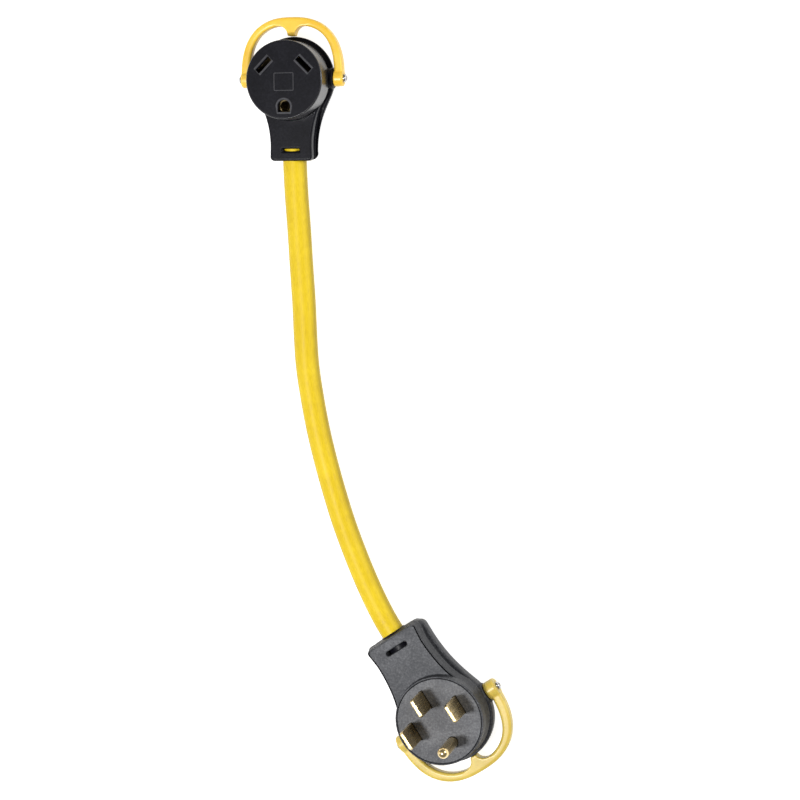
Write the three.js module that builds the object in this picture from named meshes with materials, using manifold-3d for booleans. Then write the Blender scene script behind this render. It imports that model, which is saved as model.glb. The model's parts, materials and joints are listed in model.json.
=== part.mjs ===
// Dogbone power adapter: a 30 A female connector and a 50 A male plug, each with a
// swinging yellow pull handle, joined by a short round cable. Millimetres, +Z up.
// Both heads lie on their backs; each head is drawn with its handle hinge on the X axis,
// its handle towards +Y and its cable leaving towards -Y, and is then placed.
import * as THREE from "three";
import { mergeVertices } from "three/addons/utils/BufferGeometryUtils.js";
import Module from "manifold-3d";

// Clearance between neighbours, and how far a cutting tool reaches past the face it cuts.
const GAP = 0.3;
const OVER = 1;

// Mesh tolerances and the number of sides or steps on round shapes.
const WELD = 1e-3;
const FINEST_EDGE = 0.03;
const ROUND = 32;
const FITTING_ROUND = 28;
const PIN_ROUND = 20;
const SMALL_ROUND = 14;
const CROWN_STEPS = 26;
const FLARE_STEPS = 6;
const CORNER_STEPS = 3;
const BAIL_STEPS = 26;
const POST_STEPS = 5;
const DOME_STEPS = 6;

// Cable: outside diameter, jacket wall, insulated cores and how far they sit off centre.
const CABLE_RADIUS = 7.65;
const JACKET_BORE = 5.7;
const JACKET_SIDES = 12;
const JACKET_STEPS = 14;
const CORE_RADIUS = 2.15;
const CORE_OFFSET = 2.75;
const CORE_SIDES = 8;
const CORE_STEPS = 60;
const CORE_POINTS = 20;

// Centreline of the cable from inside the female neck to inside the male neck.
const CABLE_ROUTE = [
  [-53, 175.5, 9.6],
  [-53, 155.3, 9.6],
  [-52.4, 134, 9],
  [-51.2, 111.4, 8.2],
  [-50, 88.7, 8],
  [-48.6, 66.1, 8],
  [-46.8, 24.7, 8],
  [-44, 3.9, 8],
  [-40.2, -16.9, 8],
  [-35.3, -37.7, 8],
  [-29.6, -58.5, 8],
  [-23.2, -79.3, 8],
  [-15.4, -100, 8.3],
  [-5.8, -120.9, 10.4],
  [4.2, -139.3, 12.5],
  [11.2, -150.6, 12.8],
  [22.9, -168.1, 12.8],
];

const FEMALE = {
  at: [-53, 207.5],
  turn: 0,
  rim: 27,
  pivotHeight: 11.9,
  bossFace: 27.5,
  bossRadius: 6.7,
  levels: { groove: 10.8, wall: 15.6 },
  backEdge: [[0, 3.8], [0.8, 2.6], [2.4, 1.8], [5, 0.9], [8, 0.25], [10, 0], [10.8, 0.7]],
  rear: { radius: 27, centre: 0, root: 72, lead: 8, waist: 15.2, rise: 20, waistY: -46, end: 15.4 },
  groove: { radius: 24.2, centre: 0, root: 66, lead: 8, waist: 12.4, rise: 16, waistY: -44, end: 12.4 },
  front: { radius: 25.2, centre: -1.2, root: 55, lead: 6, waist: 13.7, rise: 12, waistY: -43, end: 13.9 },
  neckEnd: -52.2,
  neckFront: 18.9,
  faceHeight: 32.8,
  faceRadius: 25.2,
  faceY: -1.2,
  cavityRadius: 21.7,
  cavityFloor: 3,
  cableHeight: 9.6,
  boreRadius: 7.95,
  window: { y: -45.3, length: 12, width: 2.6 },
  wireRoom: { width: 19, depth: 14, y: -22 },
  handle: { half: 33.9, reach: 39.2, bail: 2.5, innerHalf: 28, innerReach: 33.8, innerBail: 2.5 },
  lug: { inner: 27.8, outer: 33.9, radius: 5.3 },
  insert: { start: 22.3, length: 4.8 },
};

const MALE = {
  at: [46.3, -203.6],
  turn: THREE.MathUtils.degToRad(-146.5),
  rim: 30.2,
  pivotHeight: 9.4,
  bossFace: 30.7,
  bossRadius: 7.2,
  levels: { groove: 13.2, wall: 17 },
  backEdge: [[0, 3.2], [0.7, 1.9], [2.4, 0.9], [5, 0.3], [8, 0], [12.2, 0], [13.2, 0.8]],
  rear: { radius: 30.2, centre: 0, root: 72, lead: 8, waist: 20.8, rise: 20, waistY: -50, end: 21 },
  groove: { radius: 27.3, centre: -1, root: 64, lead: 8, waist: 16.9, rise: 15, waistY: -52, end: 17 },
  front: { radius: 28.9, centre: -2, root: 58, lead: 8, waist: 17.8, rise: 14, waistY: -52, end: 18.8 },
  neckEnd: -63.6,
  neckFront: 25.6,
  faceHeight: 32.1,
  faceRadius: 27.5,
  faceY: -2,
  cavityRadius: 24.5,
  cavityFloor: 3,
  cableHeight: 12.8,
  boreRadius: 9.5,
  window: { y: -55.2, length: 15.8, width: 2.9 },
  wireRoom: { width: 24, depth: 24, y: -30 },
  handle: { half: 38.8, reach: 41.6, bail: 2.5, innerHalf: 32, innerReach: 36.2, innerBail: 2.6 },
  lug: { inner: 31, outer: 38.8, radius: 6.1 },
  insert: { start: 25.3, length: 5 },
};

// Overmoulding of both heads: corners, edges, and how deep one solid is sunk into the next.
const CORNER_RADIUS = 2.6;
const EDGE_ROUND = 0.8;
const GROOVE_SETBACK = 0.8;
const GROOVE_ROOT = 2;
const BOSS_ROOT = 1;
const BORE_END = -13;

// Handle section, centre post and pivot fittings.
const HANDLE_DEPTH = 7.6;
const HANDLE_EDGE = 1.6;
const HANDLE_SHOULDER = 0.5;
const POST_HALF = 2.4;
const POST_FLARE = 7;
const POST_RISE = 6;
const POST_BELLY = 0.4;
const POST_KNEE = 1.2;
const POST_CLEARANCE = 0.5;
const HINGE_PLAY = 0.4;
const SCREW_SHANK = 1.6;
const SCREW_SEAT_GAP = 0.15;
const SCREW_SHORTFALL = 0.5;
const SCREW_CROWN = 0.6;
const SCREW_HEAD = 2.7;
const SCREW_HEAD_HEIGHT = 1.8;
const INSERT_OUTER = 2.5;
const INSERT_BORE = 1.95;

// Female contacts: two angled flat slots and one U-shaped earth socket.
const SLOT_X = 13.2;
const SLOT_Y = 8.2;
const SLOT_LENGTH = 11.8;
const SLOT_WIDTH = 3.2;
const SLOT_TURN = Math.PI / 4;
const EARTH_Y = -17.7;
const EARTH_WIDTH = 8;
const EARTH_HEIGHT = 7.4;
const FACE_WALL = 3.5;
const SPIGOT_FLOOR = 12.5;
const CONTACT_LENGTH = 12.4;
const CONTACT_SPREAD = 5.2;
const CONTACT_SHEET = 1;
const TUBE_OUTER = 4.3;
const TUBE_BORE = 3.4;
const FEMALE_BARREL_HEIGHT = 8.8;
const WEB = 3.4;
const WEB_ROOT = 0.5;
const CRIMP_SHIFT = 2;

// Male contacts: three parallel blades and a longer round earth pin.
const BLADE_WIDTH = 12.7;
const BLADE_SHEET = 2.3;
const BLADE_TIP = 57.7;
const BLADE_CHAMFER = 2;
const HOT_X = 17.2;
const HOT_Y = -4.2;
const NEUTRAL_Y = -18.1;
const PIN_Y = 13.9;
const PIN_RADIUS = 3.6;
const PIN_TIP = 62.6;
const CARRIER_FLOOR = 22;
const SHOULDER_SPREAD = 1.4;
const SHOULDER_FLOOR = 18;
const MALE_BARREL_HEIGHT = 15.4;

// Crimp barrels that hold the ends of the insulated cores.
const BARREL_OUTER = 3.4;
const BARREL_BORE = 2.6;
const BARREL_LENGTH = 7;

// Strain-relief sleeve between the cable and the male neck.
const SLEEVE_RADIUS = 9.2;
const SLEEVE_START = -42;
const SLEEVE_OVERHANG = 1.6;

// Hand-chosen lines of the cores from the jacket's ends into the crimp barrels, in each
// head's own frame: female fans start in their barrels, male fans end in theirs.
const FEMALE_SIDE_FAN = [
  [SLOT_X, 7.6, FEMALE_BARREL_HEIGHT],
  [SLOT_X, 3, FEMALE_BARREL_HEIGHT],
  [SLOT_X - 0.2, -0.5, FEMALE_BARREL_HEIGHT],
  [10.4, -8, 8],
  [6.6, -18, 7.6],
  [5.2, -24, 7.6],
  [3.3, -28.9, 7.9],
];
const FEMALE_EARTH_FAN = [
  [0, -13.8, FEMALE_BARREL_HEIGHT],
  [0, -18.5, FEMALE_BARREL_HEIGHT],
  [0, -21, 8.9],
  [0, -24.5, 10.1],
  [0, -28.5, 12],
];
const MALE_HOT_FAN = [
  [2.7, -40, 11.3],
  [3.9, -36, 11.2],
  [7.4, -27, 11.6],
  [12, -17.5, 13],
  [16.6, -10.6, 15.2],
  [HOT_X, -7.5, MALE_BARREL_HEIGHT],
  [HOT_X, -2.6, MALE_BARREL_HEIGHT],
];
const MALE_NEUTRAL_FAN = [
  [-2.4, -40, 11.2],
  [-1.9, -36.5, 10.8],
  [-0.6, -31.5, 11.4],
  [0, -27, 14.2],
  [0, -24, 15.3],
  [0, -20.8, MALE_BARREL_HEIGHT],
  [0, -16.5, MALE_BARREL_HEIGHT],
];
const MALE_EARTH_FAN = [
  [-0.5, -40, 15.9],
  [-2.7, -36.5, 16.5],
  [-6.2, -31, 16],
  [-8, -20, 12.5],
  [-6, -5, 12.2],
  [-2.4, 3.5, 14.6],
  [-0.3, 7.6, MALE_BARREL_HEIGHT],
  [0, 11, MALE_BARREL_HEIGHT],
  [0, 15.5, MALE_BARREL_HEIGHT],
];

const RUBBER = { color: 0x2b2b30, roughness: 0.6 };
const HANDLE_YELLOW = { color: 0xf4bd3a, roughness: 0.45 };
const CABLE_YELLOW = { color: 0xdcb81c, roughness: 0.5 };
const BRASS = { color: 0xb5914a, roughness: 0.3, metalness: 1 };
const NICKEL = { color: 0xc9c9c9, roughness: 0.25, metalness: 1 };
const CORE_BLACK = { color: 0x1d1d1f, roughness: 0.5 };
const CORE_WHITE = { color: 0xe8e6df, roughness: 0.5 };
const CORE_GREEN = { color: 0x2f8f4a, roughness: 0.5 };

const wasm = await Module();
wasm.setup();

function toManifold(geometry) {
  const bare = geometry.index ? geometry.toNonIndexed() : geometry.clone();
  bare.deleteAttribute("normal");
  bare.deleteAttribute("uv");
  const merged = mergeVertices(bare, WELD);
  return new wasm.Manifold(
    new wasm.Mesh({
      numProp: 3,
      vertProperties: merged.attributes.position.array,
      triVerts: new Uint32Array(merged.index.array),
    }),
  );
}

function toGeometry(manifold) {
  const mesh = manifold.simplify(FINEST_EDGE).getMesh();
  const geometry = new THREE.BufferGeometry();
  geometry.setAttribute("position", new THREE.BufferAttribute(mesh.vertProperties, 3));
  geometry.setIndex(new THREE.BufferAttribute(mesh.triVerts, 1));
  geometry.computeVertexNormals();
  return geometry;
}

function join(first, ...rest) {
  return rest.reduce((sum, piece) => sum.add(piece), first);
}

function cut(body, ...tools) {
  return tools.reduce((left, tool) => left.subtract(tool), body);
}

// Upright cylinder between two heights.
function disc(radius, low, high, x, y, sides = ROUND) {
  const geometry = new THREE.CylinderGeometry(radius, radius, high - low, sides);
  return toManifold(geometry.rotateX(Math.PI / 2).translate(x, y, (low + high) / 2));
}

// Cylinder along X between two x positions.
function rodX(radius, start, end, y, z, sides = SMALL_ROUND) {
  const geometry = new THREE.CylinderGeometry(radius, radius, end - start, sides);
  return toManifold(geometry.rotateZ(Math.PI / 2).translate((start + end) / 2, y, z));
}

// A rod on the hinge axis on each side of a head.
function hingeRods(radius, inner, outer, height) {
  return [
    rodX(radius, inner, outer, 0, height, FITTING_ROUND),
    rodX(radius, -outer, -inner, 0, height, FITTING_ROUND),
  ];
}

// Cylinder along Y between two y positions.
function rodY(radius, start, end, x, z, sides = SMALL_ROUND) {
  const geometry = new THREE.CylinderGeometry(radius, radius, end - start, sides);
  return toManifold(geometry.translate(x, (start + end) / 2, z));
}

// Box centred on (x, y), turned about its own upright axis.
function block(width, depth, low, high, x, y, turn = 0) {
  const geometry = new THREE.BoxGeometry(width, depth, high - low);
  return toManifold(geometry.rotateZ(turn).translate(x, y, (low + high) / 2));
}

// Solid with one closed outline whose edge steps inwards by level: [height, inset] pairs.
function loft(outline, levels) {
  const count = outline.length;
  const inward = outline.map((point, i) => {
    const before = outline[(i + count - 1) % count];
    const after = outline[(i + 1) % count];
    return new THREE.Vector2(before.y - after.y, after.x - before.x).normalize();
  });
  const positions = [];
  for (const [height, inset] of levels)
    outline.forEach((point, i) => {
      const edge = point.clone().addScaledVector(inward[i], inset);
      positions.push(edge.x, edge.y, height);
    });
  const index = [];
  for (let k = 0; k + 1 < levels.length; k++)
    for (let i = 0; i < count; i++) {
      const a = k * count + i;
      const b = k * count + ((i + 1) % count);
      index.push(a, b, b + count, a, b + count, a + count);
    }
  const top = (levels.length - 1) * count;
  for (const [a, b, c] of THREE.ShapeUtils.triangulateShape(outline, [])) {
    index.push(a, c, b);
    index.push(top + a, top + b, top + c);
  }
  const geometry = new THREE.BufferGeometry();
  geometry.setAttribute("position", new THREE.Float32BufferAttribute(positions, 3));
  geometry.setIndex(index);
  return toManifold(geometry);
}

// Outline of a head and its neck: a circle that runs by a hollow curve into a straight neck.
function gripOutline({ radius, centre, root, lead, waist, rise, waistY, end }, neckEnd) {
  const angle = THREE.MathUtils.degToRad(root);
  const start = new THREE.Vector2(radius * Math.sin(angle), centre - radius * Math.cos(angle));
  const leadPoint = new THREE.Vector2(
    start.x - lead * Math.cos(angle),
    start.y - lead * Math.sin(angle),
  );
  const flare = new THREE.CubicBezierCurve(
    start,
    leadPoint,
    new THREE.Vector2(waist, waistY + rise),
    new THREE.Vector2(waist, waistY),
  ).getPoints(FLARE_STEPS);
  const corner = new THREE.EllipseCurve(
    end - CORNER_RADIUS,
    neckEnd + CORNER_RADIUS,
    CORNER_RADIUS,
    CORNER_RADIUS,
    0,
    -Math.PI / 2,
    true,
  ).getPoints(CORNER_STEPS);
  const side = [...flare, ...corner];
  const crown = new THREE.EllipseCurve(
    0,
    centre,
    radius,
    radius,
    angle - Math.PI / 2,
    (3 * Math.PI) / 2 - angle,
    false,
  ).getPoints(CROWN_STEPS);
  const left = side.map((p) => new THREE.Vector2(-p.x, p.y)).slice(1);
  return [...crown, ...left, ...side.slice(1).reverse()];
}

// Half of a rounded bail, as points from its right foot over the top to its left foot.
function bailCurve(half, reach, power) {
  const points = [];
  for (let i = 0; i <= BAIL_STEPS; i++) {
    const angle = (Math.PI * i) / BAIL_STEPS;
    const across = Math.sign(Math.cos(angle)) * Math.abs(Math.cos(angle)) ** (2 / power);
    const along = Math.abs(Math.sin(angle)) ** (2 / power);
    points.push(new THREE.Vector2(half * across, reach * along));
  }
  return points;
}

// Flat plate of a given outline, rounded on both faces and centred on the hinge height.
function handlePlate(outline, height) {
  const low = height - HANDLE_DEPTH / 2;
  const high = height + HANDLE_DEPTH / 2;
  return loft(outline, [
    [low, HANDLE_EDGE],
    [low + HANDLE_SHOULDER, HANDLE_SHOULDER],
    [low + HANDLE_EDGE, 0],
    [high - HANDLE_EDGE, 0],
    [high - HANDLE_SHOULDER, HANDLE_SHOULDER],
    [high, HANDLE_EDGE],
  ]);
}

// Pull handle: a bail with a lug at each foot and a short centre post that stops at the rim.
function handle({ handle: h, lug, rim, pivotHeight }) {
  const outer = bailCurve(h.half, h.reach, h.bail);
  const inner = bailCurve(h.innerHalf, h.innerReach, h.innerBail);
  const bail = handlePlate([...outer, ...inner.reverse()], pivotHeight);
  const postEnd = rim + POST_CLEARANCE;
  const crossbar = (h.reach + h.innerReach) / 2;
  const flare = new THREE.QuadraticBezierCurve(
    new THREE.Vector2(POST_HALF, h.innerReach - POST_RISE),
    new THREE.Vector2(POST_HALF + POST_BELLY, h.innerReach - POST_KNEE),
    new THREE.Vector2(POST_FLARE, h.innerReach + POST_BELLY),
  ).getPoints(POST_STEPS);
  const foot = new THREE.Vector2(POST_HALF, postEnd);
  const root = new THREE.Vector2(POST_FLARE, crossbar + OVER);
  const right = [foot, ...flare, root];
  const left = right.map((p) => new THREE.Vector2(-p.x, p.y)).reverse();
  const post = handlePlate([...right, ...left], pivotHeight);
  const lugs = hingeRods(lug.radius, lug.inner, lug.outer, pivotHeight);
  const reach = lug.outer + OVER;
  return cut(
    join(bail, post, ...lugs),
    rodX(SCREW_SHANK + HINGE_PLAY, -reach, reach, 0, pivotHeight),
  );
}

// Overmoulded grip: rear flange, sunken groove and front ridge, hollow for the wiring.
function gripBody(head, headTop) {
  const { levels, pivotHeight, faceY, window: slot } = head;
  const rear = loft(gripOutline(head.rear, head.neckEnd), head.backEdge);
  const groove = loft(gripOutline(head.groove, head.neckEnd + GROOVE_SETBACK), [
    [levels.groove - GROOVE_ROOT, 0],
    [levels.wall + GROOVE_ROOT / 2, 0],
  ]);
  const front = loft(gripOutline(head.front, head.neckEnd), [
    [levels.wall, EDGE_ROUND],
    [levels.wall + EDGE_ROUND, 0],
    [head.neckFront - EDGE_ROUND, 0],
    [head.neckFront - EDGE_ROUND / 4, EDGE_ROUND / 3],
    [head.neckFront, EDGE_ROUND],
  ]);
  const bosses = hingeRods(
    head.bossRadius,
    head.insert.start - BOSS_ROOT,
    head.bossFace,
    pivotHeight,
  );
  const reach = head.bossFace + OVER;
  return cut(
    join(rear, groove, front, ...headTop, ...bosses),
    disc(head.cavityRadius, head.cavityFloor, levels.wall + OVER, 0, faceY),
    rodY(head.boreRadius, head.neckEnd - OVER, BORE_END, 0, head.cableHeight, FITTING_ROUND),
    block(slot.length, slot.width, head.cableHeight, head.neckFront + OVER, 0, slot.y),
    rodX(INSERT_OUTER + GAP, -reach, reach, 0, pivotHeight),
  );
}

// Opens the back of the neck into the cavity, so that the cores can fan out.
function wireRoom({ wireRoom: room, cavityFloor }, top) {
  return block(room.width, room.depth, cavityFloor, top, 0, room.y);
}

function femaleBody() {
  const { faceRadius, faceHeight, faceY, levels } = FEMALE;
  const seat = disc(faceRadius + GAP, levels.wall, faceHeight, 0, faceY);
  return cut(gripBody(FEMALE, []), seat, wireRoom(FEMALE, SPIGOT_FLOOR));
}

function maleBody() {
  const { faceY, faceHeight, levels } = MALE;
  const drum = turned(
    [
      [0, levels.wall],
      [MALE.front.radius - EDGE_ROUND, levels.wall],
      [MALE.front.radius, levels.wall + EDGE_ROUND],
      [MALE.front.radius, faceHeight - EDGE_ROUND / 2],
      [MALE.front.radius - EDGE_ROUND / 2, faceHeight],
      [0, faceHeight],
    ],
    faceY,
  );
  return cut(
    gripBody(MALE, [drum]),
    disc(MALE.cavityRadius, MALE.cavityFloor, CARRIER_FLOOR, 0, faceY),
    disc(MALE.faceRadius + GAP, CARRIER_FLOOR - GAP, faceHeight + OVER, 0, faceY),
    wireRoom(MALE, CARRIER_FLOOR),
  );
}

// Turned solid about an upright axis at (0, y), from a closed profile of [radius, height].
function turned(profile, y, sides = ROUND) {
  const points = profile.map(([radius, height]) => new THREE.Vector2(radius, height));
  const geometry = new THREE.LatheGeometry(points, sides);
  return toManifold(geometry.rotateX(Math.PI / 2).translate(0, y, 0));
}

// Earth socket mouth: a half-round top on a rectangle, its flat side towards the neck.
function earthMouth(width, height, low, high, y) {
  const half = width / 2;
  const shape = new THREE.Shape();
  shape.moveTo(-half, -height / 2);
  shape.lineTo(half, -height / 2);
  shape.lineTo(half, height / 2 - half);
  shape.absarc(0, height / 2 - half, half, 0, Math.PI, false);
  const geometry = new THREE.ExtrudeGeometry(shape, {
    depth: high - low,
    bevelEnabled: false,
    curveSegments: 8,
  });
  return toManifold(geometry.translate(0, y, low));
}

function contactHousing() {
  const { faceHeight, faceRadius, faceY, levels, cavityRadius } = FEMALE;
  const body = turned(
    [
      [0, SPIGOT_FLOOR],
      [cavityRadius - GAP, SPIGOT_FLOOR],
      [cavityRadius - GAP, levels.wall + GAP],
      [faceRadius - EDGE_ROUND, levels.wall + GAP],
      [faceRadius, levels.wall + GAP + EDGE_ROUND],
      [faceRadius, faceHeight - EDGE_ROUND],
      [faceRadius - EDGE_ROUND / 3, faceHeight - EDGE_ROUND / 3],
      [faceRadius - EDGE_ROUND, faceHeight],
      [0, faceHeight],
    ],
    faceY,
  );
  const pocketTop = faceHeight - FACE_WALL;
  const slots = [-1, 1].flatMap((side) => [
    block(
      SLOT_LENGTH,
      SLOT_WIDTH,
      SPIGOT_FLOOR - OVER,
      faceHeight + OVER,
      side * SLOT_X,
      SLOT_Y,
      -side * SLOT_TURN,
    ),
    block(
      CONTACT_LENGTH + 2 * GAP,
      CONTACT_SPREAD + 2 * GAP,
      SPIGOT_FLOOR - OVER,
      pocketTop,
      side * SLOT_X,
      SLOT_Y,
      -side * SLOT_TURN,
    ),
  ]);
  return cut(
    body,
    ...slots,
    disc(TUBE_OUTER + GAP, SPIGOT_FLOOR - OVER, pocketTop, 0, EARTH_Y, FITTING_ROUND),
    earthMouth(EARTH_WIDTH, EARTH_HEIGHT, pocketTop - OVER, faceHeight + OVER, EARTH_Y),
  );
}

// Open crimp barrel along Y whose middle is at (x, y).
function barrel(x, y, z) {
  const start = y - BARREL_LENGTH / 2;
  const end = y + BARREL_LENGTH / 2;
  return {
    shell: rodY(BARREL_OUTER, start, end, x, z),
    bore: rodY(BARREL_BORE, start - OVER, end - CONTACT_SHEET, x, z),
  };
}

// Sprung pair of leaves behind a flat slot, on a base plate with a crimp barrel below.
function slotContact(side) {
  const x = side * SLOT_X;
  const turn = -side * SLOT_TURN;
  const low = SPIGOT_FLOOR + GAP;
  const high = FEMALE.faceHeight - FACE_WALL - GAP;
  const channel = cut(
    block(CONTACT_LENGTH, CONTACT_SPREAD, low, high, x, SLOT_Y, turn),
    block(
      CONTACT_LENGTH + OVER,
      CONTACT_SPREAD - 2 * CONTACT_SHEET,
      low + CONTACT_SHEET,
      high + OVER,
      x,
      SLOT_Y,
      turn,
    ),
  );
  const crimp = barrel(x, SLOT_Y - CRIMP_SHIFT, FEMALE_BARREL_HEIGHT);
  const web = block(WEB, WEB, FEMALE_BARREL_HEIGHT + BARREL_BORE, low + WEB_ROOT, x, SLOT_Y, turn);
  return cut(join(channel, web, crimp.shell), crimp.bore);
}

function earthSocket() {
  const low = SPIGOT_FLOOR + GAP;
  const high = FEMALE.faceHeight - FACE_WALL - GAP;
  const tube = cut(
    disc(TUBE_OUTER, low, high, 0, EARTH_Y, FITTING_ROUND),
    disc(TUBE_BORE, low + CONTACT_SHEET, high + OVER, 0, EARTH_Y, FITTING_ROUND),
  );
  const crimp = barrel(0, EARTH_Y + CRIMP_SHIFT, FEMALE_BARREL_HEIGHT);
  const web = block(WEB, WEB, FEMALE_BARREL_HEIGHT + BARREL_BORE, low + WEB_ROOT, 0, EARTH_Y);
  return cut(join(tube, web, crimp.shell), crimp.bore);
}

function bladeCarrier() {
  const { faceRadius, faceHeight, faceY } = MALE;
  const body = turned(
    [
      [0, CARRIER_FLOOR],
      [faceRadius, CARRIER_FLOOR],
      [faceRadius, faceHeight - EDGE_ROUND / 2],
      [faceRadius - EDGE_ROUND / 2, faceHeight],
      [0, faceHeight],
    ],
    faceY,
  );
  const bladeHoles = [
    [HOT_X, HOT_Y],
    [-HOT_X, HOT_Y],
    [0, NEUTRAL_Y],
  ].map(([x, y]) =>
    block(
      BLADE_SHEET + 2 * GAP,
      BLADE_WIDTH + 2 * GAP,
      CARRIER_FLOOR - OVER,
      faceHeight + OVER,
      x,
      y,
    ),
  );
  const pinHole = disc(PIN_RADIUS + GAP, CARRIER_FLOOR - OVER, faceHeight + OVER, 0, PIN_Y, FITTING_ROUND);
  return cut(body, ...bladeHoles, pinHole);
}

// Flat blade in the YZ plane with clipped tip corners and a shoulder under the carrier.
function blade(x, y, crimped) {
  const half = BLADE_WIDTH / 2;
  const shape = new THREE.Shape([
    new THREE.Vector2(-half, SHOULDER_FLOOR),
    new THREE.Vector2(half, SHOULDER_FLOOR),
    new THREE.Vector2(half, BLADE_TIP - BLADE_CHAMFER),
    new THREE.Vector2(half - BLADE_CHAMFER, BLADE_TIP),
    new THREE.Vector2(BLADE_CHAMFER - half, BLADE_TIP),
    new THREE.Vector2(-half, BLADE_TIP - BLADE_CHAMFER),
  ]);
  const geometry = new THREE.ExtrudeGeometry(shape, { depth: BLADE_SHEET, bevelEnabled: false });
  geometry.rotateX(Math.PI / 2).rotateZ(Math.PI / 2);
  geometry.translate(x - BLADE_SHEET / 2, y, 0);
  const shoulder = block(
    BLADE_SHEET + 2 * SHOULDER_SPREAD,
    BLADE_WIDTH,
    SHOULDER_FLOOR,
    CARRIER_FLOOR - GAP,
    x,
    y,
  );
  const plain = join(toManifold(geometry), shoulder);
  if (!crimped) return plain;
  const crimp = barrel(x, y, MALE_BARREL_HEIGHT);
  return cut(join(plain, crimp.shell), crimp.bore);
}

function earthPin() {
  const dome = [];
  for (let i = 1; i < DOME_STEPS; i++) {
    const angle = (Math.PI / 2) * (i / DOME_STEPS);
    dome.push([
      PIN_RADIUS * Math.cos(angle),
      PIN_TIP - PIN_RADIUS + PIN_RADIUS * Math.sin(angle),
    ]);
  }
  const pin = turned(
    [
      [0, SHOULDER_FLOOR],
      [PIN_RADIUS + SHOULDER_SPREAD, SHOULDER_FLOOR],
      [PIN_RADIUS + SHOULDER_SPREAD, CARRIER_FLOOR - GAP],
      [PIN_RADIUS, CARRIER_FLOOR - GAP],
      [PIN_RADIUS, PIN_TIP - PIN_RADIUS],
      ...dome,
      [0, PIN_TIP],
    ],
    PIN_Y,
    PIN_ROUND,
  );
  const crimp = barrel(0, PIN_Y, MALE_BARREL_HEIGHT);
  return cut(join(pin, crimp.shell), crimp.bore);
}

function sleeve() {
  const end = MALE.neckEnd - SLEEVE_OVERHANG;
  return cut(
    rodY(SLEEVE_RADIUS, end, SLEEVE_START, 0, MALE.cableHeight, FITTING_ROUND),
    rodY(CABLE_RADIUS + GAP, end - OVER, SLEEVE_START + OVER, 0, MALE.cableHeight, FITTING_ROUND),
  );
}

// Pan-head pivot screw that passes through a lug into its insert.
function screw(head, side) {
  const seat = head.lug.outer + SCREW_SEAT_GAP;
  const tip = head.insert.start + SCREW_SHORTFALL;
  const shank = rodX(SCREW_SHANK, tip, seat + SCREW_HEAD_HEIGHT / 2, 0, head.pivotHeight);
  const profile = [
    [0, seat],
    [SCREW_HEAD, seat],
    [SCREW_HEAD, seat + SCREW_HEAD_HEIGHT / 2],
    [SCREW_HEAD * SCREW_CROWN, seat + SCREW_HEAD_HEIGHT],
    [0, seat + SCREW_HEAD_HEIGHT],
  ].map(([radius, along]) => new THREE.Vector2(radius, along));
  const cap = new THREE.LatheGeometry(profile, SMALL_ROUND);
  cap.rotateZ(-Math.PI / 2).translate(0, 0, head.pivotHeight);
  const whole = join(toManifold(cap), shank);
  return side > 0 ? whole : whole.mirror([1, 0, 0]);
}

function threadedInsert(head, side) {
  const { start, length } = head.insert;
  const whole = cut(
    rodX(INSERT_OUTER, start, start + length, 0, head.pivotHeight),
    rodX(INSERT_BORE, start - OVER, start + length + OVER, 0, head.pivotHeight),
  );
  return side > 0 ? whole : whole.mirror([1, 0, 0]);
}

function ring(radius, sides) {
  return Array.from({ length: sides }, (_, i) => {
    const angle = (2 * Math.PI * i) / sides;
    return new THREE.Vector2(radius * Math.cos(angle), radius * Math.sin(angle));
  });
}

const cablePath = new THREE.CatmullRomCurve3(CABLE_ROUTE.map((p) => new THREE.Vector3(...p)));

function jacket() {
  const wall = new THREE.Shape(ring(CABLE_RADIUS, JACKET_SIDES));
  wall.holes.push(new THREE.Path(ring(JACKET_BORE, JACKET_SIDES)));
  return toManifold(
    new THREE.ExtrudeGeometry(wall, { steps: JACKET_STEPS, extrudePath: cablePath }),
  );
}

// Point given in a head's own frame, in the frame of the whole adapter.
function placed(head, [x, y, z]) {
  const point = new THREE.Vector3(x, y, z).applyAxisAngle(new THREE.Vector3(0, 0, 1), head.turn);
  return point.add(new THREE.Vector3(head.at[0], head.at[1], 0));
}

// Insulated core: fans out of the jacket at each end and runs off-centre inside it.
function core(angle, femaleEnd, maleEnd) {
  const up = new THREE.Vector3(0, 0, 1);
  const inside = [];
  for (let i = 0; i <= CORE_POINTS; i++) {
    const at = i / CORE_POINTS;
    const across = new THREE.Vector3().crossVectors(cablePath.getTangentAt(at), up).normalize();
    inside.push(
      cablePath
        .getPointAt(at)
        .addScaledVector(across, CORE_OFFSET * Math.cos(angle))
        .addScaledVector(up, CORE_OFFSET * Math.sin(angle)),
    );
  }
  const route = new THREE.CatmullRomCurve3(
    [
      ...femaleEnd.map((p) => placed(FEMALE, p)),
      ...inside,
      ...maleEnd.map((p) => placed(MALE, p)),
    ],
    false,
    "centripetal",
  );
  const shape = new THREE.Shape(ring(CORE_RADIUS, CORE_SIDES));
  return toManifold(
    new THREE.ExtrudeGeometry(shape, { steps: CORE_STEPS, extrudePath: route }),
  );
}

const group = new THREE.Group();

function addPiece(parent, name, manifold, look) {
  const mesh = new THREE.Mesh(toGeometry(manifold), new THREE.MeshStandardMaterial(look));
  mesh.name = name;
  parent.add(mesh);
}

function headGroup(head) {
  const frame = new THREE.Group();
  frame.position.set(head.at[0], head.at[1], 0);
  frame.rotation.z = head.turn;
  group.add(frame);
  return frame;
}

const female = headGroup(FEMALE);
addPiece(female, "female_grip_body", femaleBody(), RUBBER);
addPiece(female, "female_contact_housing", contactHousing(), RUBBER);
addPiece(female, "female_hot_contact", slotContact(-1), BRASS);
addPiece(female, "female_neutral_contact", slotContact(1), BRASS);
addPiece(female, "female_ground_contact", earthSocket(), BRASS);

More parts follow.
